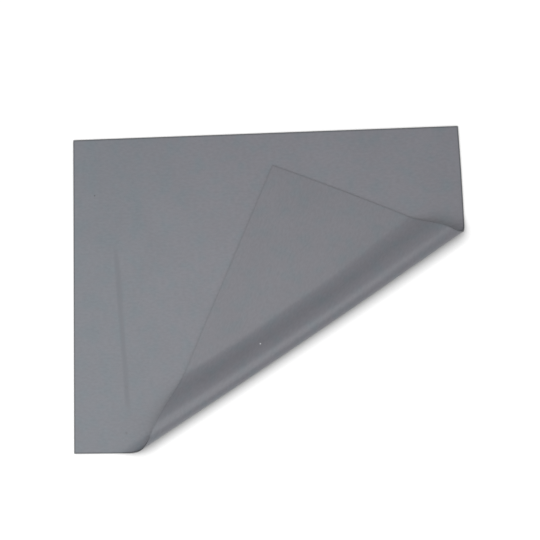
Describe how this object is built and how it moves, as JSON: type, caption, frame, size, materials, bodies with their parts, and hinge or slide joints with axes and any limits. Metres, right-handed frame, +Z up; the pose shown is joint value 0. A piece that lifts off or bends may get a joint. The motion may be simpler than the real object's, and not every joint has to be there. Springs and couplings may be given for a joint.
{
  "type": "rubber grip mat",
  "caption": "Thin soft rubber grip mat: a plain rectangular sheet lying flat, with one corner turned over in a low roll onto its own top face.",
  "frame": {"origin": "middle of the mat's footprint, on the surface it lies on", "axes": "+X along the long edges and +Y along the short edges, so that the turned-over corner is the one at +X -Y; +Z up, out of the top face"},
  "size_m": [0.406, 0.3301, 0.0191],
  "materials": {
    "grip_rubber": "matte mid grey, smooth calendered face with a faint dry tack"
  },
  "bodies": {
    "root": {"grip_mat": "grip_rubber"}
  },
  "joints": []
}
